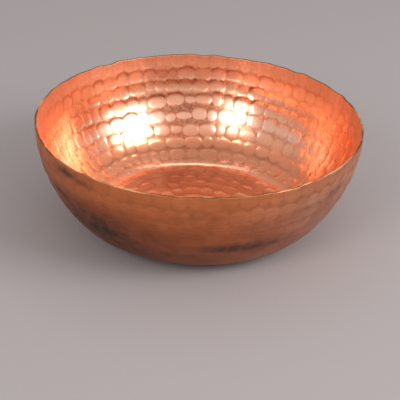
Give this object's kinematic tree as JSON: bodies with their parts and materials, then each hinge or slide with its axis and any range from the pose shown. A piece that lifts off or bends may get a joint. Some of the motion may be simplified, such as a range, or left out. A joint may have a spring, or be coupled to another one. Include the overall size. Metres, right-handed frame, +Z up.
{
  "type": "hammered copper bowl",
  "caption": "Round open bowl raised from one sheet of copper, with a flat base, rounded corner, steep wall, plain cut rim and hammer-marked faces. Holds food, fruit or small things.",
  "frame": {"origin": "centre of the flat base, on the surface that the bowl stands on", "axes": "+Z up along the bowl's axis of symmetry, out of its mouth; X and Y across the bowl"},
  "size_m": [0.25, 0.25, 0.084],
  "materials": {
    "hammered_copper": "satin"
  },
  "bodies": {
    "root": {"bowl_shell": "hammered_copper"}
  },
  "joints": []
}
